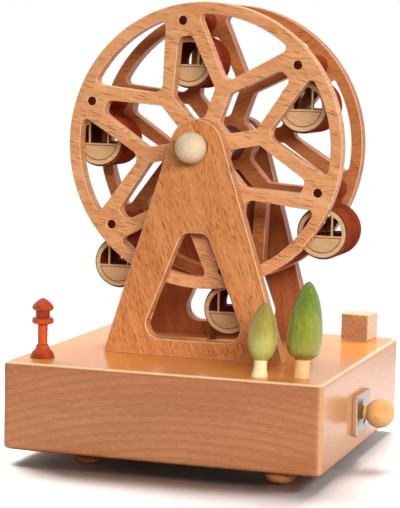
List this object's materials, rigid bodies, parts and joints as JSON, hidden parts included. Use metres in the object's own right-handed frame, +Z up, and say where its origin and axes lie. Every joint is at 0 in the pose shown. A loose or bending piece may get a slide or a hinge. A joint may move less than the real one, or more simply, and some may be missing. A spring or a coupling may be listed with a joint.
{
  "type": "crank ferris wheel toy",
  "caption": "Wooden ferris wheel toy: spoked twin-plate wheel with hanging gondolas between A-frames on a hollow base, turned by a side crank, with little trees, a lamp and a block.",
  "frame": {"origin": "centre of the base's footprint, on the plane that the feet stand on", "axes": "+Z up, +Y from the front A-frame to the rear one along the wheel's axle, +X towards the crank knob"},
  "size_m": [0.1335, 0.12, 0.169],
  "materials": {
    "beech_base": "satin lacquer",
    "cover_board": "plain board",
    "steel": "bright",
    "foot_wood": "satin lacquer",
    "beech_board": "satin lacquer",
    "beech_turned": "satin lacquer",
    "brass": "satin",
    "lamp_red": "glossy orange-red paint",
    "tree_lime": "transparent yellow-green stain",
    "trunk_pale": "satin lacquer",
    "tree_olive": "transparent green stain",
    "belt_rubber": "matte",
    "stained_wood": "dark red-brown stain",
    "pale_ball": "satin lacquer",
    "gear_plastic": "plain white",
    "pin_wood": "dark red-brown stain",
    "honey_knob": "gloss lacquer",
    "pale_face": "sanded with scorched edges"
  },
  "bodies": {
    "stand": {"base_body": "beech_base", "bottom_cover": "cover_board", "cover_screws": "steel", "feet": "foot_wood", "front_a_frame": "beech_board", "rear_a_frame": "beech_board", "frame_dowels": "beech_turned", "front_bush": "brass", "rear_bush": "brass", "lamp_post": "lamp_red", "small_tree_crown": "tree_lime", "small_tree_trunk": "trunk_pale", "tall_tree_crown": "tree_olive", "tall_tree_trunk": "trunk_pale", "corner_block": "beech_turned", "crank_plate": "steel", "crank_plate_screws": "steel", "crank_bush": "brass", "crank_block": "beech_turned", "front_cross_block": "beech_turned", "rear_cross_block": "beech_turned", "block_screws": "steel", "belt": "belt_rubber"},
    "wheel": {"front_wheel_plate": "beech_board", "rear_wheel_plate": "beech_board", "hub_spacer": "stained_wood", "axle": "beech_turned", "front_axle_ball": "pale_ball", "rear_axle_ball": "pale_ball", "axle_pulley": "gear_plastic", "gondola_pins": "pin_wood"},
    "crank": {"crank_shaft": "steel", "crank_knob": "honey_knob", "crank_pinion": "brass"},
    "cross_drive": {"cross_shaft": "steel", "crown_gear": "gear_plastic", "drive_pulley": "gear_plastic"},
    "gondola_1": {"gondola_1_drum": "stained_wood", "gondola_1_front_face": "pale_face", "gondola_1_rear_face": "pale_face"},
    "gondola_2": {"gondola_2_drum": "stained_wood", "gondola_2_front_face": "pale_face", "gondola_2_rear_face": "pale_face"},
    "gondola_3": {"gondola_3_drum": "stained_wood", "gondola_3_front_face": "pale_face", "gondola_3_rear_face": "pale_face"},
    "gondola_4": {"gondola_4_drum": "stained_wood", "gondola_4_front_face": "pale_face", "gondola_4_rear_face": "pale_face"},
    "gondola_5": {"gondola_5_drum": "stained_wood", "gondola_5_front_face": "pale_face", "gondola_5_rear_face": "pale_face"},
    "gondola_6": {"gondola_6_drum": "stained_wood", "gondola_6_front_face": "pale_face", "gondola_6_rear_face": "pale_face"}
  },
  "joints": [
    {"name": "wheel_spin", "type": "hinge", "parent": "stand", "child": "wheel", "pos_m": [0, 0, 0.1157], "axis": [0, 1, 0], "continuous": true},
    {"name": "crank_spin", "type": "hinge", "parent": "stand", "child": "crank", "pos_m": [0.06, -0.0055, 0.0188], "axis": [1, 0, 0], "continuous": true},
    {"name": "cross_spin", "type": "hinge", "parent": "stand", "child": "cross_drive", "pos_m": [0, 0.02, 0.0188], "axis": [0, 1, 0], "continuous": true},
    {"name": "gondola_1_swing", "type": "hinge", "parent": "wheel", "child": "gondola_1", "pos_m": [-0.00872, 0.003, 0.16203], "axis": [0, 1, 0], "continuous": true},
    {"name": "gondola_2_swing", "type": "hinge", "parent": "wheel", "child": "gondola_2", "pos_m": [-0.04448, 0.003, 0.13131], "axis": [0, 1, 0], "continuous": true},
    {"name": "gondola_3_swing", "type": "hinge", "parent": "wheel", "child": "gondola_3", "pos_m": [-0.03576, 0.003, 0.08499], "axis": [0, 1, 0], "continuous": true},
    {"name": "gondola_4_swing", "type": "hinge", "parent": "wheel", "child": "gondola_4", "pos_m": [0.00872, 0.003, 0.06937], "axis": [0, 1, 0], "continuous": true},
    {"name": "gondola_5_swing", "type": "hinge", "parent": "wheel", "child": "gondola_5", "pos_m": [0.04448, 0.003, 0.10009], "axis": [0, 1, 0], "continuous": true},
    {"name": "gondola_6_swing", "type": "hinge", "parent": "wheel", "child": "gondola_6", "pos_m": [0.03576, 0.003, 0.14641], "axis": [0, 1, 0], "continuous": true}
  ],
  "couplings": [
    {"joint": "cross_spin", "follows": "wheel_spin", "ratio": 1},
    {"joint": "crank_spin", "follows": "wheel_spin", "ratio": -2},
    {"joint": "gondola_1_swing", "follows": "wheel_spin", "ratio": -1},
    {"joint": "gondola_2_swing", "follows": "wheel_spin", "ratio": -1},
    {"joint": "gondola_3_swing", "follows": "wheel_spin", "ratio": -1},
    {"joint": "gondola_4_swing", "follows": "wheel_spin", "ratio": -1},
    {"joint": "gondola_5_swing", "follows": "wheel_spin", "ratio": -1},
    {"joint": "gondola_6_swing", "follows": "wheel_spin", "ratio": -1}
  ]
}
